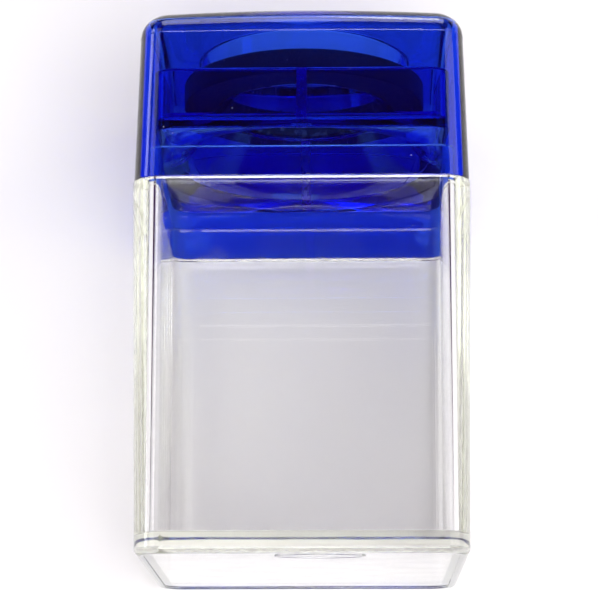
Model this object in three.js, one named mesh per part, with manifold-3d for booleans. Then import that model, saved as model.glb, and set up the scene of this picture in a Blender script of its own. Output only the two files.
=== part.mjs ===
// Magnetic paper clip box: a clear square container with a translucent blue lift-off cap.
// A ring magnet under the round opening in the cap holds clips at its edge, and a funnel
// insert inside the cap carries the magnet and leads the clips to it.
// Millimetres, +Z up, origin at the centre of the underside, front face towards -Y.

import * as THREE from 'three';
import * as BufferGeometryUtils from 'three/addons/utils/BufferGeometryUtils.js';
import Module from 'manifold-3d';

const wasm = await Module();
wasm.setup();

// Outside of the assembly
const BASE_HALF = 21.39;          // half width of the container at its underside
const SHOULDER_HALF = 22.25;      // half width of the container at its shoulder
const SHOULDER_Z = 49.15;         // height of the shoulder that the cap rests on
const CAP_RIM_HALF = 22.12;       // half width of the cap at its rim
const CAP_TOP_HALF = 21.58;       // half width of the cap just below its top fillet
const TOP_Z = 73.35;              // overall height
const CORNER_R = 3.6;             // outer vertical corners
const TOP_FILLET = 3.55;          // fillet between the cap's sides and its top
const BASE_EDGE = 0.8;            // broken edge around the underside

// Container
const FLOOR_T = 2.9;              // floor thickness
const FLOOR_HALF = 19.4;          // half width of the hollow at the floor
const MOUTH_HALF = 19.7;          // half width of the hollow at the mouth
const INNER_CORNER_R = 1.6;       // corners of the hollow
const NECK_HALF = 20.3;           // outside of the thin neck that the cap slips over
const NECK_Z = 53.75;             // top of the neck

// Cap
const FIT_GAP = 0.3;              // clearance between neighbouring pieces
const CAP_BORE_HALF = NECK_HALF + FIT_GAP;   // inside of the cap at its rim
const CAP_ROOF_HALF = 20.3;       // inside of the cap under its roof
const CAP_BORE_CORNER_R = 2.2;    // vertical corners inside the cap
const ROOF_T = 1.4;               // thickness of the cap's roof
const CAP_INNER_FILLET = 0.8;     // fillet between the cap's sides and its roof, inside
const OPENING_R = 13.9;           // round opening that the clips come out of
const OPENING_LIP_R = 0.5;        // rounding from the opening into the top
const COLLAR_T = 0.8;             // thin wall that runs down from the opening to the magnet

// Ring magnet
const MAGNET_OUTER_R = 16.9;
const MAGNET_INNER_R = 11.4;
const MAGNET_Z = 65.0;            // underside of the ring
const MAGNET_T = 3.5;
const MAGNET_CHAMFER = 0.3;
const COLLAR_Z = MAGNET_Z + MAGNET_T + FIT_GAP;      // lower end of the collar

// Funnel insert
const INSERT_HALF = 19.9;         // outside of the insert's skirt
const INSERT_CORNER_R = 3.0;
const INSERT_Z = 56.3;            // underside of the insert
const INSERT_TOP_Z = MAGNET_Z - FIT_GAP;
const INSERT_WALL_T = 1.2;
const INSERT_FLOOR_T = 1.4;
const FUNNEL_MOUTH_R = 20.4;      // wide lower end of the funnel, cut off by the skirt at mid-side
const FUNNEL_LAND = 0.35;         // what the mouth leaves of the skirt's foot at mid-side
const FUNNEL_LIP_R = 19.0;        // top of the shallow lip around the mouth
const FUNNEL_LIP_H = 0.3;
const FUNNEL_WAIST_R = 16.4;      // where the flare turns into the steep cone
const FUNNEL_WAIST_H = 1.5;
const FUNNEL_THROAT_R = 11.2;     // narrow upper end of the funnel
const FUNNEL_WALL_T = 1.2;        // measured level
const WEB_T = 1.35;               // upright webs between funnel and skirt
const SNAP_W = 2.8;               // small snap at the foot of each side of the skirt
const SNAP_H = 1.2;
const SNAP_PROUD = 0.3;

// Fineness of the curves
const CORNER_STEPS = 6;
const FILLET_STEPS = 6;
const ROUND_STEPS = 72;

const OVERRUN = 2;                // how far a cutting solid runs past what it cuts

const QUARTER = Math.PI / 2;

/** Points of an arc from one angle to another, in degrees, as [offset, height] pairs. */
function arc(centreX, centreZ, radius, fromDegrees, toDegrees, steps) {
  const points = [];
  for (let i = 0; i <= steps; i += 1) {
    const angle = THREE.MathUtils.degToRad(fromDegrees + (toDegrees - fromDegrees) * i / steps);
    points.push([centreX + radius * Math.cos(angle), centreZ + radius * Math.sin(angle)]);
  }
  return points;
}

/** Round solid about Z from an outline of [radius, height] points, listed anticlockwise. */
function roundSolid(outline, steps = ROUND_STEPS) {
  const points = outline.map(([radius, height]) => new THREE.Vector2(radius, height));
  return new THREE.LatheGeometry(points, steps).rotateX(QUARTER);
}

/**
 * Solid with a rounded-square plan about Z. Each station of the outline is
 * [half width, height, corner radius], listed anticlockwise from the axis back to the axis.
 * The columns of a lathe are moved to the four corners, which leaves flat sides between them.
 */
function squareSolid(outline) {
  const columnsPerCorner = CORNER_STEPS + 1;
  const columns = 4 * columnsPerCorner;
  const geometry = roundSolid(outline, columns);
  const position = geometry.attributes.position;
  for (let index = 0; index < position.count; index += 1) {
    const column = Math.floor(index / outline.length) % columns;
    const [half, height, cornerR] = outline[index % outline.length];
    const corner = Math.floor(column / columnsPerCorner);
    const turn = (column % columnsPerCorner) / CORNER_STEPS;
    const angle = QUARTER * (corner + turn - 1);
    const signX = corner < 2 ? 1 : -1;
    const signY = corner === 1 || corner === 2 ? 1 : -1;
    const x = signX * (half - cornerR) + cornerR * Math.cos(angle);
    const y = signY * (half - cornerR) + cornerR * Math.sin(angle);
    position.setXYZ(index, x, y, height);
  }
  return geometry;
}

function boxSolid(sizeX, sizeY, sizeZ, x, y, z) {
  return new THREE.BoxGeometry(sizeX, sizeY, sizeZ).translate(x, y, z);
}

/** Closed geometry with shared vertices merged and flat triangles dropped. */
function weld(geometry) {
  const bare = geometry.clone();
  bare.deleteAttribute('normal');
  bare.deleteAttribute('uv');
  const merged = BufferGeometryUtils.mergeVertices(bare, 1e-5);
  const corners = merged.index.array;
  const kept = [];
  for (let i = 0; i < corners.length; i += 3) {
    const [a, b, c] = [corners[i], corners[i + 1], corners[i + 2]];
    if (a !== b && b !== c && c !== a) {
      kept.push(a, b, c);
    }
  }
  merged.setIndex(kept);
  return merged;
}

function toManifold(geometry) {
  const welded = weld(geometry);
  const mesh = new wasm.Mesh({
    numProp: 3,
    vertProperties: new Float32Array(welded.attributes.position.array),
    triVerts: new Uint32Array(welded.index.array),
  });
  return new wasm.Manifold(mesh);
}

function toGeometry(manifold) {
  const mesh = manifold.getMesh();
  const geometry = new THREE.BufferGeometry();
  geometry.setAttribute('position', new THREE.BufferAttribute(mesh.vertProperties, 3));
  geometry.setIndex(new THREE.BufferAttribute(mesh.triVerts, 1));
  geometry.computeVertexNormals();
  return geometry;
}

/** Container: floor, drafted walls, a flat shoulder and a thinner neck, in one moulding. */
function clearBoxGeometry() {
  const outline = [
    [0, 0, 0],
    [BASE_HALF - BASE_EDGE, 0, CORNER_R - BASE_EDGE],
    [BASE_HALF, BASE_EDGE, CORNER_R],
    [SHOULDER_HALF, SHOULDER_Z, CORNER_R],
    [NECK_HALF, SHOULDER_Z, INNER_CORNER_R + NECK_HALF - MOUTH_HALF],
    [NECK_HALF, NECK_Z, INNER_CORNER_R + NECK_HALF - MOUTH_HALF],
    [MOUTH_HALF, NECK_Z, INNER_CORNER_R],
    [FLOOR_HALF, FLOOR_T, INNER_CORNER_R],
    [0, FLOOR_T, 0],
  ];
  return weld(squareSolid(outline));
}

/** Cap: filleted square shell with a round opening, whose thin collar runs down inside to the magnet. */
function capShellGeometry() {
  const rimZ = SHOULDER_Z + FIT_GAP;
  const fillet = arc(CAP_TOP_HALF - TOP_FILLET, TOP_Z - TOP_FILLET, TOP_FILLET, 0, 90, FILLET_STEPS);
  const filletStations = fillet.map(([half, height]) => {
    const inset = CAP_TOP_HALF - half;
    return [half, height, Math.max(CORNER_R - inset, INNER_CORNER_R)];
  });
  const outside = squareSolid([
    [0, rimZ, 0],
    [CAP_RIM_HALF, rimZ, CORNER_R],
    ...filletStations,
    [0, TOP_Z, 0],
  ]);
  const roofZ = TOP_Z - ROOF_T;
  const innerR = CAP_INNER_FILLET;
  const innerFillet = arc(CAP_ROOF_HALF - innerR, roofZ - innerR, innerR, 0, 90, FILLET_STEPS);
  const cavity = squareSolid([
    [0, rimZ - OVERRUN, 0],
    [CAP_BORE_HALF, rimZ - OVERRUN, CAP_BORE_CORNER_R],
    [CAP_BORE_HALF, rimZ, CAP_BORE_CORNER_R],
    ...innerFillet.map(([half, height]) => [half, height, CAP_BORE_CORNER_R]),
    [0, roofZ, 0],
  ]);
  const lip = arc(OPENING_R + OPENING_LIP_R, TOP_Z - OPENING_LIP_R, OPENING_LIP_R, 180, 90, FILLET_STEPS);
  const opening = roundSolid([
    [0, COLLAR_Z - OVERRUN],
    [OPENING_R, COLLAR_Z - OVERRUN],
    ...lip,
    [OPENING_R + OPENING_LIP_R, TOP_Z + OVERRUN],
    [0, TOP_Z + OVERRUN],
  ]);
  const collar = roundSolid([
    [0, COLLAR_Z],
    [OPENING_R + COLLAR_T, COLLAR_Z],
    [OPENING_R + COLLAR_T, TOP_Z - ROOF_T / 2],
    [0, TOP_Z - ROOF_T / 2],
  ]);
  const hollow = toManifold(cavity).subtract(toManifold(collar));
  return toGeometry(toManifold(outside).subtract(hollow).subtract(toManifold(opening)));
}

/** Ring magnet with its four edges broken. */
function ringMagnetGeometry() {
  const topZ = MAGNET_Z + MAGNET_T;
  const c = MAGNET_CHAMFER;
  return weld(roundSolid([
    [MAGNET_INNER_R + c, MAGNET_Z],
    [MAGNET_OUTER_R - c, MAGNET_Z],
    [MAGNET_OUTER_R, MAGNET_Z + c],
    [MAGNET_OUTER_R, topZ - c],
    [MAGNET_OUTER_R - c, topZ],
    [MAGNET_INNER_R + c, topZ],
    [MAGNET_INNER_R, topZ - c],
    [MAGNET_INNER_R, MAGNET_Z + c],
    [MAGNET_INNER_R + c, MAGNET_Z],
  ]));
}

/** Funnel insert: square skirt, floor, flared cone up to the magnet, four webs and four snaps. */
function magnetRetainerGeometry() {
  const pocketHalf = INSERT_HALF - INSERT_WALL_T;
  const pocketCornerR = INSERT_CORNER_R - INSERT_WALL_T;
  const pocketZ = INSERT_Z + INSERT_FLOOR_T;
  const height = INSERT_TOP_Z - INSERT_Z;
  const block = squareSolid([
    [0, INSERT_Z, 0],
    [INSERT_HALF, INSERT_Z, INSERT_CORNER_R],
    [INSERT_HALF, INSERT_TOP_Z, INSERT_CORNER_R],
    [0, INSERT_TOP_Z, 0],
  ]);
  const pocket = squareSolid([
    [0, pocketZ, 0],
    [pocketHalf, pocketZ, pocketCornerR],
    [pocketHalf, INSERT_TOP_Z + OVERRUN, pocketCornerR],
    [0, INSERT_TOP_Z + OVERRUN, 0],
  ]);
  const coneOutside = roundSolid([
    [0, pocketZ],
    [FUNNEL_WAIST_R + FUNNEL_WALL_T, pocketZ],
    [FUNNEL_THROAT_R + FUNNEL_WALL_T, INSERT_TOP_Z],
    [0, INSERT_TOP_Z],
  ]);
  const lowZ = INSERT_Z - OVERRUN;
  const highZ = INSERT_TOP_Z + OVERRUN;
  const throat = roundSolid([
    [0, lowZ],
    [FUNNEL_MOUTH_R, lowZ],
    [FUNNEL_MOUTH_R, INSERT_Z],
    [FUNNEL_LIP_R, INSERT_Z + FUNNEL_LIP_H],
    [FUNNEL_WAIST_R, INSERT_Z + FUNNEL_WAIST_H],
    [FUNNEL_THROAT_R, INSERT_TOP_Z],
    [FUNNEL_THROAT_R, highZ],
    [0, highZ],
  ]);
  const mouthHalf = INSERT_HALF - FUNNEL_LAND;
  const mouthLimit = squareSolid([
    [0, lowZ, 0],
    [mouthHalf, lowZ, INSERT_CORNER_R],
    [mouthHalf, highZ, INSERT_CORNER_R],
    [0, highZ, 0],
  ]);
  const clipPassage = toManifold(throat).intersect(toManifold(mouthLimit));
  const webLength = 2 * (pocketHalf + INSERT_WALL_T / 2);
  const webZ = (INSERT_Z + INSERT_TOP_Z) / 2;
  const webs = [
    boxSolid(WEB_T, webLength, height, 0, 0, webZ),
    boxSolid(webLength, WEB_T, height, 0, 0, webZ),
  ];
  const snapReach = 2 * (INSERT_HALF + SNAP_PROUD);
  const snapZ = INSERT_Z + INSERT_FLOOR_T / 2;
  const snaps = [
    boxSolid(SNAP_W, snapReach, SNAP_H, 0, 0, snapZ),
    boxSolid(snapReach, SNAP_W, SNAP_H, 0, 0, snapZ),
  ];
  let hollow = toManifold(pocket).subtract(toManifold(coneOutside));
  for (const web of webs) {
    hollow = hollow.subtract(toManifold(web));
  }
  let insert = toManifold(block).subtract(hollow);
  for (const snap of snaps) {
    insert = insert.add(toManifold(snap));
  }
  return toGeometry(insert.subtract(clipPassage));
}

function piece(name, geometry, look) {
  const mesh = new THREE.Mesh(geometry, new THREE.MeshStandardMaterial(look));
  mesh.name = name;
  return mesh;
}

const clearPlastic = { color: 0xeef0ec, roughness: 0.06, metalness: 0, transparent: true, opacity: 0.35 };
const bluePlastic = { color: 0x1226b4, roughness: 0.08, metalness: 0, transparent: true, opacity: 0.8 };
const darkFerrite = { color: 0x17181a, roughness: 0.55, metalness: 0.1 };

const clipBox = new THREE.Group();
clipBox.add(piece('clear_box', clearBoxGeometry(), clearPlastic));
clipBox.add(piece('cap_shell', capShellGeometry(), bluePlastic));
clipBox.add(piece('ring_magnet', ringMagnetGeometry(), darkFerrite));
clipBox.add(piece('magnet_retainer', magnetRetainerGeometry(), bluePlastic));

export default clipBox;
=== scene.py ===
"""Looks of a magnetic paper clip box: clear square container, blue cap, ring magnet and funnel insert.

The mouldings and the magnet are lofts of rounded-square or round sections about Z. The insert's webs and
snaps are bevelled plates. Sizes are in millimetres, and each mesh is stored in metres.
"""

import math

import bmesh
import bpy
import numpy as np
from mathutils import Euler, Matrix, Vector


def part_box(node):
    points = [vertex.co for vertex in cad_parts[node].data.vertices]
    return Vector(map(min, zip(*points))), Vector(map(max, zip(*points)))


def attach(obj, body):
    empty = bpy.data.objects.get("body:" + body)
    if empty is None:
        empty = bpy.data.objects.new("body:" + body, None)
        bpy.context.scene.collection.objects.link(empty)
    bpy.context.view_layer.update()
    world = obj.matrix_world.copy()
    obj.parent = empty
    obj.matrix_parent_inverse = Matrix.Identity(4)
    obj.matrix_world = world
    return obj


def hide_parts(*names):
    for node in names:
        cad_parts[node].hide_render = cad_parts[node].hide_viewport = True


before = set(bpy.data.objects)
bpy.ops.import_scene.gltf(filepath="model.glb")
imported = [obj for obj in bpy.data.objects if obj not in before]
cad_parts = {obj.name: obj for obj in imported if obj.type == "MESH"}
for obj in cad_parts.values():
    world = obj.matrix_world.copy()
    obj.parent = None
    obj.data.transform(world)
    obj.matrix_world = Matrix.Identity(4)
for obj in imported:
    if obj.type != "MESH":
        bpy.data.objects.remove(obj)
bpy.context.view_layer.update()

MM = 0.001


# ---------------------------------------------------------------- sizes, in millimetres

def node_box(node):
    """Lowest and highest corner of a CAD node, in millimetres."""
    low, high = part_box(node)
    return low / MM, high / MM


BOX_HIGH = node_box("clear_box")[1]
CAP_LOW, CAP_HIGH = node_box("cap_shell")
RING_LOW, RING_HIGH = node_box("ring_magnet")
INSERT_LOW, INSERT_HIGH = node_box("magnet_retainer")

# Container
CAD_FIT_GAP = 0.3         # room the CAD leaves between the shoulder and the cap's rim
SHOULDER_HALF = BOX_HIGH.x
SHOULDER_Z = CAP_LOW.z - CAD_FIT_GAP
SHOULDER_EDGE = 0.18
WALL_LEAN = 0.86          # how far the walls lean in from the shoulder to the base
BASE_HALF = SHOULDER_HALF - WALL_LEAN
BASE_EDGE = 0.9
BASE_RECESS = 0.2         # the underside stands on a narrow rim
BASE_RIM_HALF = 20.1
BASE_RIM_BEVEL = 0.1
CORNER_R = 3.6
NECK_HALF = 20.3
NECK_Z = BOX_HIGH.z
NECK_ROOT_FILLET = 0.15
NECK_LIP_EDGE = 0.28
MOUTH_HALF = 19.7
FLOOR_HALF = 19.4
FLOOR_T = 2.9
FLOOR_FILLET = 0.15
INNER_CORNER_R = 1.6

# Oval cavity mark under the floor
MARK_AT = (2.3, -16.8)
MARK_HALF = (5.6, 2.0)
MARK_WIRE_HALF_W = 0.28
MARK_WIRE_HALF_H = 0.15
MARK_DROP = 0.04          # middle of the raised line below the recessed underside

# Cap
CAP_SEAT_GAP = 0.04
CAP_RIM_HALF = CAP_HIGH.x
CAP_RIM_Z = SHOULDER_Z + CAP_SEAT_GAP
CAP_RIM_EDGE = 0.15
CAP_LEAN = 0.59           # how far the cap's sides lean in from the rim to the top
CAP_TOP_HALF = CAP_RIM_HALF - CAP_LEAN
TOP_Z = CAP_HIGH.z
TOP_FILLET = 3.55
CROWN = 0.7               # how far the cap's top sinks at its corners
CROWN_HALF = CAP_TOP_HALF - 1.45    # distance out, in X and in Y, where it has sunk that far
CAP_BORE_HALF = 20.6
CAP_BORE_EDGE = 0.1
CAP_ROOF_HALF = 20.3
CAP_BORE_CORNER_R = 2.2
CAP_INNER_FILLET = 0.8
ROOF_T = 1.4
BEAD_DROP = 0.25          # parting bead below the start of the top fillet
BEAD_HALF_H = 0.09
BEAD_PROUD = 0.05
BEAD_STEP = 0.01          # the side above the bead lies this much further in
BEAD_FOOT_FILLET = 0.03
BEAD_EDGE = 0.06
OPENING_R = 13.9
OPENING_LIP_R = 0.5
COLLAR_T = 0.8
COLLAR_GAP = 0.15         # between the collar and the magnet
COLLAR_EDGE = 0.2
COLLAR_ROOT_FILLET = 0.3

# Ring magnet
RING_OUTER_R = RING_HIGH.x
RING_INNER_R = 11.4
RING_EDGE = 0.35

# Funnel insert
INSERT_HALF = 19.9
INSERT_CORNER_R = 3.0
INSERT_WALL_T = 1.2
INSERT_FLOOR_T = 1.4
INSERT_EDGE = 0.25
INSERT_FOOT_W = 0.35      # flat left between the funnel's mouth and the outside, at mid-side
POCKET_FILLET = 0.9
FUNNEL_MOUTH_R = 20.4
FUNNEL_LIP_R = 19.0
FUNNEL_LIP_RISE = 0.3
FUNNEL_LIP_FILLET = 0.8
FUNNEL_WAIST_R = 16.4
FUNNEL_WAIST_RISE = 0.1   # above the insert's floor
FUNNEL_WAIST_FILLET = 3.0
FUNNEL_THROAT_R = 11.2
FUNNEL_THROAT_EDGE = 0.2
FUNNEL_WALL_T = 1.2
FUNNEL_ROOT_FILLET = 0.4

# Webs and snaps of the insert
PLATE_BEVEL = 0.08
WEB_T = 1.35
WEB_BITE = 0.3            # how deep a web reaches into the walls it joins
WEB_TOP_DROP = 0.05
SNAP_W = 2.8
SNAP_H = 1.2
SNAP_GAP = 0.02
SNAP_PROUD = 0.3
SNAP_SLOPE = 0.2


# ---------------------------------------------------------------- camera

CAMERA_AT = Vector((5.372, -294.093, -34.59)) * MM
CAMERA_UP_TILT = math.radians(13.835)
CAMERA_TURN = math.radians(1.162)
CAMERA_LENS = 130.77
CAMERA_SENSOR = 36
CAMERA_NEAR = 0.01


def placed(name, data):
    """Object of that data in the scene."""
    made = bpy.data.objects.new(name, data)
    bpy.context.scene.collection.objects.link(made)
    return made


def make_camera():
    data = bpy.data.cameras.new("photo_camera")
    data.lens = CAMERA_LENS
    data.sensor_width = CAMERA_SENSOR
    data.clip_start = CAMERA_NEAR
    camera = placed("photo_camera", data)
    camera.location = CAMERA_AT
    camera.rotation_euler = Euler((math.pi / 2 + CAMERA_UP_TILT, 0, CAMERA_TURN))
    bpy.context.scene.camera = camera


make_camera()


# ---------------------------------------------------------------- lofting

SIDE_STEPS = 18           # columns along each flat side
CORNER_STEPS = 8          # columns around each vertical corner
SOFT_STEPS = 4            # rings around a softened edge, unless the station says another number
TYPICAL_CORNER = 0.17     # corner radius over half width; it spaces the columns of round sections
LEAST_CORNER_R = 0.3
ON_AXIS = 1e-6
PROBE = 0.01              # step along the surface that finds the normals of a bent loft


def square_plan(half, corner):
    """Points and outward directions of a rounded square, anticlockwise from the -Y side's right corner."""
    arc_points, arc_outward = [], []
    for quarter in range(4):
        sign_x = 1 if quarter < 2 else -1
        sign_y = 1 if quarter in (1, 2) else -1
        for i in range(CORNER_STEPS + 1):
            angle = math.pi / 2 * (quarter - 1 + i / CORNER_STEPS)
            outward = np.array([math.cos(angle), math.sin(angle)])
            centre = np.array([sign_x, sign_y]) * (half - corner)
            arc_points.append(centre + corner * outward)
            arc_outward.append(outward)
    points, outwards = [], []
    per_corner = CORNER_STEPS + 1
    for quarter in range(4):
        first = quarter * per_corner
        end = arc_points[(first + per_corner) % len(arc_points)]
        points.extend(arc_points[first:first + per_corner])
        outwards.extend(arc_outward[first:first + per_corner])
        start = points[-1]
        for i in range(1, SIDE_STEPS):
            points.append(start + (end - start) * i / SIDE_STEPS)
            outwards.append(outwards[-1])
    return np.array(points), np.array(outwards)


PLAN_ANGLES = np.arctan2(*square_plan(1.0, TYPICAL_CORNER)[0].T[::-1])


def round_plan(radius):
    """Points and outward directions of a circle, one for each column of the rounded square."""
    outwards = np.stack([np.cos(PLAN_ANGLES), np.sin(PLAN_ANGLES)], axis=1)
    return radius * outwards, outwards


def square(reach, height, corner, soften=0.0, steps=SOFT_STEPS):
    """Rounded-square station: half width, height, corner radius, and the radius that softens its edge."""
    at = np.array([reach, height])
    return {"at": at, "corner": corner, "soften": soften, "steps": steps, "radius": None}


def circle(reach, height, soften=0.0, steps=SOFT_STEPS, within=None):
    """Round station; within cuts the circle off at that distance from the middle on each side."""
    at = np.array([reach if within is None else min(reach, within), height])
    return {"at": at, "corner": None, "soften": soften, "steps": steps, "radius": reach}


def unit(vector):
    return vector / np.linalg.norm(vector)


def turned(start, end, share):
    """Direction part of the way from one unit vector to another."""
    angle = math.acos(float(np.clip(start @ end, -1, 1)))
    if angle < 1e-4:
        return start
    return (math.sin((1 - share) * angle) * start + math.sin(share * angle) * end) / math.sin(angle)


def softened(stations, closed):
    """Rings of a loft: each station with a soften radius becomes an arc tangent to its neighbours.

    A ring has its place in the profile, its corner radius or its radius, and the profile's direction there.
    """
    rings = []
    count = len(stations)
    for i, station in enumerate(stations):
        here = station["at"]
        has_before = closed or i > 0
        has_after = closed or i < count - 1
        arriving = unit(here - stations[i - 1]["at"]) if has_before else None
        leaving = unit(stations[(i + 1) % count]["at"] - here) if has_after else None
        arriving = leaving if arriving is None else arriving
        leaving = arriving if leaving is None else leaving
        radius = station["soften"]
        if not radius:
            along = unit(arriving + leaving)
            kept = {"corner": station["corner"], "radius": station["radius"]}
            rings.append({"at": here, "along": along, **kept})
            continue
        turn = math.acos(float(np.clip(arriving @ leaving, -1, 1)))
        trim = radius * math.tan(turn / 2)
        side = 1 if arriving[0] * leaving[1] - arriving[1] * leaving[0] > 0 else -1
        first = here - arriving * trim
        centre = first + side * radius * np.array([-arriving[1], arriving[0]])
        for k in range(station["steps"] + 1):
            along = turned(arriving, leaving, k / station["steps"])
            spot = centre + side * radius * np.array([along[1], -along[0]])
            corner = station["corner"]
            if corner is not None:
                corner = max(corner + spot[0] - here[0], LEAST_CORNER_R)
            rings.append({"at": spot, "corner": corner, "along": along, "radius": spot[0]})
    return rings


def ring_section(ring):
    """Points and normals of one ring: a single point on the axis, or a point for each column."""
    reach, height = ring["at"]
    outward, upward = ring["along"][1], -ring["along"][0]
    if reach < ON_AXIS:
        return [(0.0, 0.0, height)], [(0.0, 0.0, math.copysign(1.0, upward))]
    if ring["corner"] is None:
        plan, directions = round_plan(ring["radius"])
        plan = np.clip(plan, -reach, reach)
    else:
        plan, directions = square_plan(reach, ring["corner"])
    points = [(x, y, height) for x, y in plan]
    normals = [(outward * x, outward * y, upward) for x, y in directions]
    return points, normals


def bent(points, normals, shape):
    """Points moved by the shape, with the normals of the moved surface."""
    spare = np.where(np.abs(normals[:, 2:]) < 0.9, [[0.0, 0.0, 1.0]], [[1.0, 0.0, 0.0]])
    first = np.cross(normals, spare)
    first /= np.linalg.norm(first, axis=1, keepdims=True)
    second = np.cross(normals, first)
    moved = shape(points)
    tilted = np.cross(shape(points + PROBE * first) - moved, shape(points + PROBE * second) - moved)
    tilted /= np.linalg.norm(tilted, axis=1, keepdims=True)
    tilted *= np.sign(np.sum(tilted * normals, axis=1, keepdims=True))
    return moved, tilted


def loft(name, stations, closed=False, shape=None):
    """Mesh object through the stations. An open loft starts and ends on the axis. Shape moves the points."""
    points, normals, starts = [], [], []
    for ring in softened(stations, closed):
        ring_points, ring_normals = ring_section(ring)
        starts.append(len(points))
        points.extend(ring_points)
        normals.extend(ring_normals)
    sizes = np.diff(starts + [len(points)])
    pairs = list(zip(range(len(starts)), range(1, len(starts))))
    if closed:
        pairs.append((len(starts) - 1, 0))
    columns = len(PLAN_ANGLES)
    faces = []
    for a, b in pairs:
        for i in range(columns):
            j = (i + 1) % columns
            low = [starts[a]] if sizes[a] == 1 else [starts[a] + i, starts[a] + j]
            high = [starts[b]] if sizes[b] == 1 else [starts[b] + j, starts[b] + i]
            faces.append(low + high)
    points, normals = np.array(points), np.array(normals)
    if shape is not None:
        points, normals = bent(points, normals, shape)
    mesh = bpy.data.meshes.new(name)
    mesh.from_pydata((points * MM).tolist(), [], faces)
    mesh.update()
    mesh.shade_smooth()
    mesh.normals_split_custom_set_from_vertices(normals.tolist())
    return placed(name, mesh)


# ---------------------------------------------------------------- materials

PLASTIC_IOR = 1.57
DUST_R = 0.09
DUST_CLEARNESS = 0.3      # transmission that is left under a speck of dust
SCRATCH_TURN = 0.5        # radians off the vertical
SCRATCH_SPACING = 0.16
SCRATCH_LENGTH = 7.0
SCRATCH_LEVEL = 0.72      # noise above this is a scratch, so a higher level leaves fewer
FLOW_STRETCH = (220, 220, 70)       # noise cells per metre: mould flow drawn out along Z
SATIN_GRAIN = (2500,) * 3
FERRITE_GRAIN = (3500,) * 3
# noise cells per metre of the painted highlight's patches along the magnet's inner edge
FERRITE_HIGHLIGHT_PATCHES = (900,) * 3


def new_material(name):
    material = bpy.data.materials.new(name)
    material.use_nodes = True
    tree = material.node_tree
    return material, tree.nodes, tree.links, tree.nodes["Principled BSDF"]


def object_point(nodes, links, stretch, turn=0.0):
    """The object's own coordinates in metres, turned about Y and multiplied by the stretch on each axis."""
    place = nodes.new("ShaderNodeTexCoord")
    mapping = nodes.new("ShaderNodeMapping")
    mapping.vector_type = "POINT"
    mapping.inputs["Rotation"].default_value = (0, turn, 0)
    mapping.inputs["Scale"].default_value = stretch
    links.new(place.outputs["Object"], mapping.inputs["Vector"])
    return mapping.outputs["Vector"]


def noise(nodes, links, stretch, detail, turn=0.0):
    made = nodes.new("ShaderNodeTexNoise")
    made.inputs["Scale"].default_value = 1.0
    made.inputs["Detail"].default_value = detail
    links.new(object_point(nodes, links, stretch, turn), made.inputs["Vector"])
    return made.outputs["Fac"]


def remapped(nodes, links, value, low, high, to_low, to_high):
    """Value taken smoothly from low..high to to_low..to_high, and held outside."""
    made = nodes.new("ShaderNodeMapRange")
    made.interpolation_type = "SMOOTHSTEP"
    for label, number in (("From Min", low), ("From Max", high), ("To Min", to_low), ("To Max", to_high)):
        made.inputs[label].default_value = number
    links.new(value, made.inputs["Value"])
    return made.outputs["Result"]


def combined(nodes, links, operation, first, second=0.0):
    """Math node; second is a socket or a plain number, which a square root doesn't use."""
    made = nodes.new("ShaderNodeMath")
    made.operation = operation
    links.new(first, made.inputs[0])
    if isinstance(second, float):
        made.inputs[1].default_value = second
    else:
        links.new(second, made.inputs[1])
    return made.outputs["Value"]


def bumped(nodes, links, shader, height, strength, depth):
    """Bump of that height socket, with its depth in millimetres."""
    bump = nodes.new("ShaderNodeBump")
    bump.inputs["Strength"].default_value = strength
    bump.inputs["Distance"].default_value = depth * MM
    links.new(height, bump.inputs["Height"])
    links.new(bump.outputs["Normal"], shader.inputs["Normal"])


def specks(nodes, links, spacing, radius, share):
    """1 on small round specks scattered on the surface, 0 elsewhere; only a share of the cells has one."""
    cells = nodes.new("ShaderNodeTexVoronoi")
    cells.inputs["Scale"].default_value = 1.0
    links.new(object_point(nodes, links, (1 / (spacing * MM),) * 3), cells.inputs["Vector"])
    chosen = nodes.new("ShaderNodeSeparateColor")
    links.new(cells.outputs["Color"], chosen.inputs["Color"])
    here = remapped(nodes, links, chosen.outputs["Red"], share, share + 0.01, 1, 0)
    near = remapped(nodes, links, cells.outputs["Distance"], radius / spacing * 0.6, radius / spacing, 1, 0)
    return combined(nodes, links, "MULTIPLY", here, near)


def handled(nodes, links, shader, worn, flow):
    """Fine, nearly straight scratches in the roughness, and a faint bump of mould flow."""
    across, along = 1 / (SCRATCH_SPACING * MM), 1 / (SCRATCH_LENGTH * MM)
    lines = noise(nodes, links, (across, across, along), 0.0, SCRATCH_TURN)
    marks = remapped(nodes, links, lines, SCRATCH_LEVEL, SCRATCH_LEVEL + 0.05, 0, 1)
    links.new(remapped(nodes, links, marks, 0, 1, 0.0, worn), shader.inputs["Roughness"])
    bumped(nodes, links, shader, noise(nodes, links, FLOW_STRETCH, 0.0), strength=1.0, depth=flow)


def dusty(nodes, links, shader, bare, dust_colour, spacing, radius, share):
    """A few specks of dust, which take over the surface's colour. Returns the socket that is 1 on them."""
    speck = specks(nodes, links, spacing, radius, share)
    colour = nodes.new("ShaderNodeMix")
    colour.data_type = "RGBA"
    colour.inputs["A"].default_value = bare
    colour.inputs["B"].default_value = dust_colour
    links.new(speck, colour.inputs["Factor"])
    links.new(colour.outputs["Result"], shader.inputs["Base Color"])
    return speck


def absorbing(nodes, links, colour, density):
    absorb = nodes.new("ShaderNodeVolumeAbsorption")
    absorb.inputs["Color"].default_value = colour
    absorb.inputs["Density"].default_value = density
    links.new(absorb.outputs["Volume"], nodes["Material Output"].inputs["Volume"])


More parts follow.
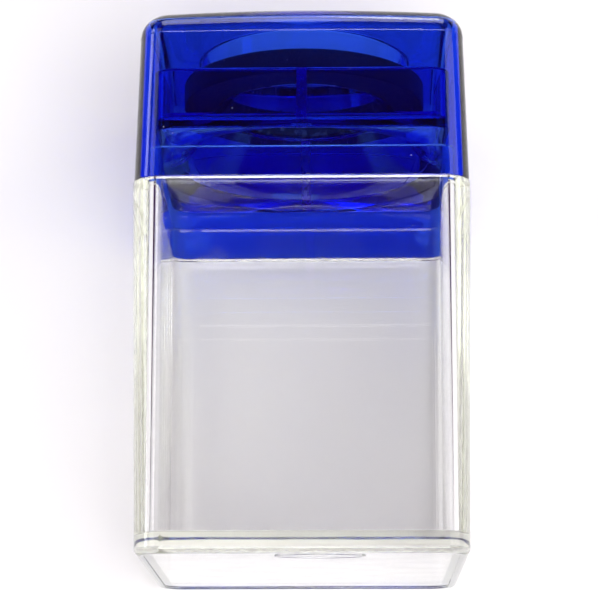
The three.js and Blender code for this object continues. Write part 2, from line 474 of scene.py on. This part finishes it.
def glossy_plastic(name, bare, dust_colour, dust_spacing, dust_share, worn, flow, tint, density):
    """Clear moulded plastic, handled and slightly dusty. The tint grows with the depth the light crosses."""
    material, nodes, links, shader = new_material(name)
    shader.inputs["IOR"].default_value = PLASTIC_IOR
    speck = dusty(nodes, links, shader, bare, dust_colour, dust_spacing, DUST_R, dust_share)
    clearness = remapped(nodes, links, speck, 0, 1, 1, DUST_CLEARNESS)
    links.new(clearness, shader.inputs["Transmission Weight"])
    handled(nodes, links, shader, worn, flow)
    absorbing(nodes, links, tint, density)
    return material


def clear_plastic():
    return glossy_plastic(
        "clear_plastic",
        bare=(0.94, 0.94, 0.94, 1), dust_colour=(0.7, 0.7, 0.68, 1), dust_spacing=1.6, dust_share=0.12,
        worn=0.10, flow=0.006, tint=(0.75, 0.85, 0.3, 1), density=3.0,
    )


def blue_plastic(name, density):
    return glossy_plastic(
        name,
        bare=(1, 1, 1, 1), dust_colour=(0.45, 0.5, 0.95, 1), dust_spacing=1.3, dust_share=0.10,
        worn=0.14, flow=0.005, tint=(0.0, 0.40, 0.941, 1), density=density,
    )


def satin_blue_plastic():
    """The insert's webs, left satin by the mould: they scatter a little of the light that reaches them."""
    material, nodes, links, shader = new_material("satin_blue_plastic")
    shader.inputs["IOR"].default_value = PLASTIC_IOR
    shader.inputs["Transmission Weight"].default_value = 0.8
    dusty(nodes, links, shader, (0.45, 0.1, 1, 1), (0.8, 0.4, 1, 1), spacing=1.3, radius=0.2, share=0.3)
    grain = noise(nodes, links, SATIN_GRAIN, 3.0)
    links.new(remapped(nodes, links, grain, 0.3, 0.7, 0.22, 0.4), shader.inputs["Roughness"])
    absorbing(nodes, links, (0.0, 0.30, 0.941, 1), 500)
    return material


def dark_ferrite():
    """Sintered ferrite: fine grey grain and pale chips, with a painted highlight in bright patches around
    the inner edge.
    """
    material, nodes, links, shader = new_material("dark_ferrite")
    place = nodes.new("ShaderNodeTexCoord")
    split = nodes.new("ShaderNodeSeparateXYZ")
    links.new(place.outputs["Object"], split.inputs["Vector"])
    squares = [combined(nodes, links, "POWER", split.outputs[axis], 2.0) for axis in ("X", "Y")]
    reach = combined(nodes, links, "SQRT", combined(nodes, links, "ADD", *squares))
    # Painted highlight: a band just outside the inner edge, lightened in patches, stands in for the light
    # caught there.
    edge = remapped(nodes, links, reach, (RING_INNER_R + 0.2) * MM, (RING_INNER_R + 1.0) * MM, 1, 0)
    highlight_patches = remapped(nodes, links, noise(nodes, links, FERRITE_HIGHLIGHT_PATCHES, 3.0), 0.52, 0.62, 0, 1)
    painted_edge_highlight = combined(nodes, links, "MULTIPLY", edge, highlight_patches)
    chips = specks(nodes, links, spacing=2.2, radius=0.22, share=0.16)
    # The chips are real wear; the rest of this mask is the painted highlight.
    worn = combined(nodes, links, "MAXIMUM", painted_edge_highlight, chips)
    grain = noise(nodes, links, FERRITE_GRAIN, 4.0)
    colour = nodes.new("ShaderNodeValToRGB")
    dark, pale = colour.color_ramp.elements
    dark.position, dark.color = 0.3, (0.018, 0.018, 0.02, 1)
    pale.position, pale.color = 0.75, (0.05, 0.05, 0.054, 1)
    links.new(grain, colour.inputs["Fac"])
    mixed = nodes.new("ShaderNodeMix")
    mixed.data_type = "RGBA"
    # Pale grey of the chips and of the painted highlight.
    mixed.inputs["B"].default_value = (0.14, 0.14, 0.15, 1)
    links.new(colour.outputs["Color"], mixed.inputs["A"])
    links.new(worn, mixed.inputs["Factor"])
    links.new(mixed.outputs["Result"], shader.inputs["Base Color"])
    links.new(remapped(nodes, links, grain, 0.3, 0.7, 0.4, 0.65), shader.inputs["Roughness"])
    bumped(nodes, links, shader, grain, strength=0.5, depth=0.03)
    return material


# ---------------------------------------------------------------- pieces

def finish_piece(piece, body, node, material):
    piece.data.materials.append(material)
    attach(piece, body)
    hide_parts(node)


def moulded_oval(name):
    """Raised oval outline on the recessed underside, a blank cavity mark from the mould."""
    around, across = 64, 8
    middle = Vector((*MARK_AT, BASE_RECESS - MARK_DROP))
    half_x, half_y = MARK_HALF
    points = []
    for i in range(around):
        angle = 2 * math.pi * i / around
        spot = Vector((half_x * math.cos(angle), half_y * math.sin(angle), 0))
        outward = Vector((half_y * math.cos(angle), half_x * math.sin(angle), 0)).normalized()
        for k in range(across):
            turn = 2 * math.pi * k / across
            sideways = outward * math.cos(turn) * MARK_WIRE_HALF_W
            upwards = Vector((0, 0, math.sin(turn) * MARK_WIRE_HALF_H))
            points.append(middle + spot + sideways + upwards)
    faces = []
    for i in range(around):
        for k in range(across):
            a, b = i * across, (i + 1) % around * across
            j = (k + 1) % across
            faces.append((a + k, b + k, b + j, a + j))
    mesh = bpy.data.meshes.new(name)
    mesh.from_pydata([tuple(p * MM) for p in points], [], faces)
    mesh.shade_smooth()
    return placed(name, mesh)


def container():
    neck_corner = INNER_CORNER_R + NECK_HALF - MOUTH_HALF
    rim_corner = CORNER_R - BASE_EDGE
    stations = [
        circle(0, BASE_RECESS),
        square(BASE_RIM_HALF, BASE_RECESS, rim_corner, BASE_RIM_BEVEL),
        square(BASE_RIM_HALF + BASE_RIM_BEVEL, 0, rim_corner, BASE_RIM_BEVEL),
        square(BASE_HALF, 0, CORNER_R, BASE_EDGE, steps=6),
        square(SHOULDER_HALF, SHOULDER_Z, CORNER_R, SHOULDER_EDGE),
        square(NECK_HALF, SHOULDER_Z, neck_corner, NECK_ROOT_FILLET),
        square(NECK_HALF, NECK_Z, neck_corner, NECK_LIP_EDGE),
        square(MOUTH_HALF, NECK_Z, INNER_CORNER_R, NECK_LIP_EDGE),
        square(FLOOR_HALF, FLOOR_T, INNER_CORNER_R, FLOOR_FILLET),
        circle(0, FLOOR_T),
    ]
    material = clear_plastic()
    for piece in (loft("container_moulding", stations), moulded_oval("base_mark")):
        finish_piece(piece, "container", "clear_box", material)


def crowned(points):
    """Each top edge of the cap is a shallow arc, highest at mid-side and lowest at the corners."""
    lift = np.clip((points[:, 2] - (TOP_Z - 2 * TOP_FILLET)) / (2 * TOP_FILLET), 0, 1) ** 2
    across = points[:, 0] ** 2 * points[:, 1] ** 2 / CROWN_HALF ** 4
    moved = points.copy()
    moved[:, 2] -= CROWN * lift * across
    return moved


def cap():
    roof_z = TOP_Z - ROOF_T
    collar_z = RING_HIGH.z + COLLAR_GAP
    collar_r = OPENING_R + COLLAR_T
    bead_z = TOP_Z - TOP_FILLET - BEAD_DROP
    up_the_side = (bead_z - CAP_RIM_Z) / (TOP_Z - CAP_RIM_Z)
    bead_half = CAP_RIM_HALF + (CAP_TOP_HALF - CAP_RIM_HALF) * up_the_side
    stations = [
        square(CAP_RIM_HALF, CAP_RIM_Z, CORNER_R, CAP_RIM_EDGE),
        square(bead_half, bead_z - BEAD_HALF_H, CORNER_R, BEAD_FOOT_FILLET, steps=2),
        square(bead_half + BEAD_PROUD, bead_z, CORNER_R, BEAD_EDGE),
        square(bead_half - BEAD_STEP, bead_z + BEAD_HALF_H, CORNER_R, BEAD_FOOT_FILLET, steps=2),
        square(CAP_TOP_HALF, TOP_Z, CORNER_R, TOP_FILLET, steps=14),
        circle(OPENING_R, TOP_Z, OPENING_LIP_R, steps=8),
        circle(OPENING_R, collar_z, COLLAR_EDGE),
        circle(collar_r, collar_z, COLLAR_EDGE),
        circle(collar_r, roof_z, COLLAR_ROOT_FILLET),
        square(CAP_ROOF_HALF, roof_z, CAP_BORE_CORNER_R, CAP_INNER_FILLET, steps=6),
        square(CAP_BORE_HALF, CAP_RIM_Z, CAP_BORE_CORNER_R, CAP_BORE_EDGE),
    ]
    piece = loft("cap_moulding", stations, closed=True, shape=crowned)
    finish_piece(piece, "cap", "cap_shell", blue_plastic("blue_plastic", 1700))


def magnet():
    low, high = RING_LOW.z, RING_HIGH.z
    stations = [
        circle(RING_INNER_R, low, RING_EDGE),
        circle(RING_OUTER_R, low, RING_EDGE),
        circle(RING_OUTER_R, high, RING_EDGE),
        circle(RING_INNER_R, high, RING_EDGE),
    ]
    piece = loft("magnet_ring", stations, closed=True)
    finish_piece(piece, "cap", "ring_magnet", dark_ferrite())


def prism(name, profile, half_width, turn):
    """Upright plate: a profile of [reach, height] points drawn out to both sides, and turned about Z."""
    points = [(side * half_width, -reach, height) for side in (-1, 1) for reach, height in profile]
    count = len(profile)
    faces = [tuple(range(count))[::-1], tuple(range(count, 2 * count))]
    faces += [(i, (i + 1) % count, (i + 1) % count + count, i + count) for i in range(count)]
    mesh = bpy.data.meshes.new(name)
    mesh.from_pydata((np.array(points) * MM).tolist(), [], faces)
    mesh.transform(Matrix.Rotation(turn, 4, "Z"))
    shaping = bmesh.new()
    shaping.from_mesh(mesh)
    bmesh.ops.recalc_face_normals(shaping, faces=shaping.faces)
    bmesh.ops.bevel(shaping, geom=shaping.edges[:], offset=PLATE_BEVEL * MM, segments=2, affect="EDGES")
    shaping.to_mesh(mesh)
    shaping.free()
    return placed(name, mesh)


def insert():
    low, high = INSERT_LOW.z, INSERT_HIGH.z
    pocket_half = INSERT_HALF - INSERT_WALL_T
    pocket_corner = INSERT_CORNER_R - INSERT_WALL_T
    pocket_z = low + INSERT_FLOOR_T
    waist_outer_r = FUNNEL_WAIST_R + FUNNEL_WALL_T
    throat_outer_r = FUNNEL_THROAT_R + FUNNEL_WALL_T
    stations = [
        square(INSERT_HALF, low, INSERT_CORNER_R, INSERT_EDGE),
        square(INSERT_HALF, high, INSERT_CORNER_R, INSERT_EDGE),
        square(pocket_half, high, pocket_corner, INSERT_EDGE),
        square(pocket_half, pocket_z, pocket_corner, POCKET_FILLET, steps=6),
        circle(waist_outer_r, pocket_z, FUNNEL_ROOT_FILLET),
        circle(throat_outer_r, high, FUNNEL_THROAT_EDGE),
        circle(FUNNEL_THROAT_R, high, FUNNEL_THROAT_EDGE),
        circle(FUNNEL_WAIST_R, pocket_z + FUNNEL_WAIST_RISE, FUNNEL_WAIST_FILLET, steps=8),
        circle(FUNNEL_LIP_R, low + FUNNEL_LIP_RISE, FUNNEL_LIP_FILLET),
        circle(FUNNEL_MOUTH_R, low, within=INSERT_HALF - INSERT_FOOT_W),
    ]
    glossy = blue_plastic("blue_insert_plastic", 1500)
    funnel = loft("funnel_insert", stations, closed=True)
    finish_piece(funnel, "cap", "magnet_retainer", glossy)

    snap_low = low + INSERT_FLOOR_T / 2 - SNAP_H / 2
    snap_high = low + INSERT_FLOOR_T / 2 + SNAP_H / 2
    snap = [
        (INSERT_HALF + SNAP_GAP, snap_low),
        (INSERT_HALF + SNAP_PROUD, snap_low + SNAP_SLOPE),
        (INSERT_HALF + SNAP_PROUD, snap_high - SNAP_SLOPE),
        (INSERT_HALF + SNAP_GAP, snap_high),
    ]
    web = [
        (pocket_half + WEB_BITE, pocket_z - WEB_BITE),
        (waist_outer_r - WEB_BITE, pocket_z - WEB_BITE),
        (throat_outer_r - WEB_BITE, high - WEB_TOP_DROP),
        (pocket_half + WEB_BITE, high - WEB_TOP_DROP),
    ]
    satin = satin_blue_plastic()
    for label, profile, width, material in (("snap", snap, SNAP_W, glossy), ("web", web, WEB_T, satin)):
        for side in range(4):
            piece = prism(f"insert_{label}_{side + 1}", profile, width / 2, side * math.pi / 2)
            finish_piece(piece, "cap", "magnet_retainer", material)


container()
cap()
magnet()
insert()


# ---------------------------------------------------------------- stage and light

PAPER_Y = (SHOULDER_HALF + 0.6) * MM     # just behind the object
PAPER_HALF = 0.6
PAPER_COLOUR = (0.95, 0.945, 0.925, 1)
SURROUND_PALE = (0.92, 0.92, 0.92, 1)
SURROUND_DIM = (0.05, 0.015, 0.06, 1)
LIGHT_DISTANCE = 0.6
LIGHT_BOUNCES = 48
DIFFUSE_BOUNCES = 6


def one_sided_white(name, colour):
    """Pale matt surface that is seen, and shades, only from its front."""
    material, nodes, links, shader = new_material(name)
    shader.inputs["Base Color"].default_value = colour
    shader.inputs["Roughness"].default_value = 0.9
    clear = nodes.new("ShaderNodeBsdfTransparent")
    side = nodes.new("ShaderNodeNewGeometry")
    mix = nodes.new("ShaderNodeMixShader")
    links.new(side.outputs["Backfacing"], mix.inputs["Fac"])
    links.new(shader.outputs["BSDF"], mix.inputs[1])
    links.new(clear.outputs["BSDF"], mix.inputs[2])
    links.new(mix.outputs["Shader"], nodes["Material Output"].inputs["Surface"])
    return material


def backdrop(name, half, y, material):
    """Upright square sheet behind the object, facing -Y."""
    corners = [(-half, y, -half), (half, y, -half), (half, y, half), (-half, y, half)]
    mesh = bpy.data.meshes.new(name)
    mesh.from_pydata(corners, [], [(0, 1, 2, 3)])
    mesh.materials.append(material)
    placed(name, mesh)


def soft_light(name, azimuth, elevation, size, radiance):
    """Rectangular soft light facing the object, placed by its direction seen from the object's front.

    Azimuth 0 is straight in front, and positive is towards +X. The radiance is that of the lit surface.
    """
    turn, rise = math.radians(azimuth), math.radians(elevation)
    aim = Vector((0, 0, TOP_Z * MM / 2))
    way = Vector((math.sin(turn) * math.cos(rise), -math.cos(turn) * math.cos(rise), math.sin(rise)))
    data = bpy.data.lights.new(name, "AREA")
    data.shape = "RECTANGLE"
    data.size, data.size_y = size
    data.energy = radiance * math.pi * size[0] * size[1]
    light = placed(name, data)
    light.location = aim + way * LIGHT_DISTANCE
    light.rotation_euler = (-way).to_track_quat("-Z", "Y").to_euler()


def surround(pale, dim):
    """Pale world behind the object from every side, which gives almost no light to it or to the paper.

    Rays that come straight, or only through clear pieces, find the pale colour; scattered and mirrored rays
    find the dim one, as between the soft lights of a dark studio.
    """
    world = bpy.data.worlds.new("studio_surround")
    world.use_nodes = True
    nodes, links = world.node_tree.nodes, world.node_tree.links
    path = nodes.new("ShaderNodeLightPath")
    bounced = combined(nodes, links, "ADD", path.outputs["Glossy Depth"], path.outputs["Diffuse Depth"])
    choice = nodes.new("ShaderNodeMix")
    choice.data_type = "RGBA"
    choice.inputs["A"].default_value = pale
    choice.inputs["B"].default_value = dim
    links.new(combined(nodes, links, "GREATER_THAN", bounced, 0.5), choice.inputs["Factor"])
    links.new(choice.outputs["Result"], nodes["Background"].inputs["Color"])
    bpy.context.scene.world = world


def deep_blue_settings():
    """Plain view transform, and enough bounces for light to cross all the walls of both mouldings."""
    bpy.context.scene.view_settings.view_transform = "Standard"
    cycles = bpy.context.scene.cycles
    cycles.max_bounces = LIGHT_BOUNCES
    cycles.transmission_bounces = LIGHT_BOUNCES
    cycles.glossy_bounces = LIGHT_BOUNCES
    cycles.transparent_max_bounces = LIGHT_BOUNCES
    cycles.diffuse_bounces = DIFFUSE_BOUNCES
    cycles.blur_glossy = 0


backdrop("pale_backdrop", PAPER_HALF, PAPER_Y, one_sided_white("pale_paper", PAPER_COLOUR))
surround(SURROUND_PALE, SURROUND_DIM)
soft_light("key", 10, -22, (0.45, 0.42), 5.5)
soft_light("side_left", -65, 10, (0.13, 0.50), 3.8)
soft_light("fill_left", -38, 8, (0.19, 0.56), 1.1)
soft_light("fill_right", 52, 3, (0.42, 0.50), 1.5)
soft_light("fill_top", 8, 68, (0.50, 0.34), 3.0)
soft_light("top_lamp", 24, 74, (0.12, 0.10), 7.0)
deep_blue_settings()
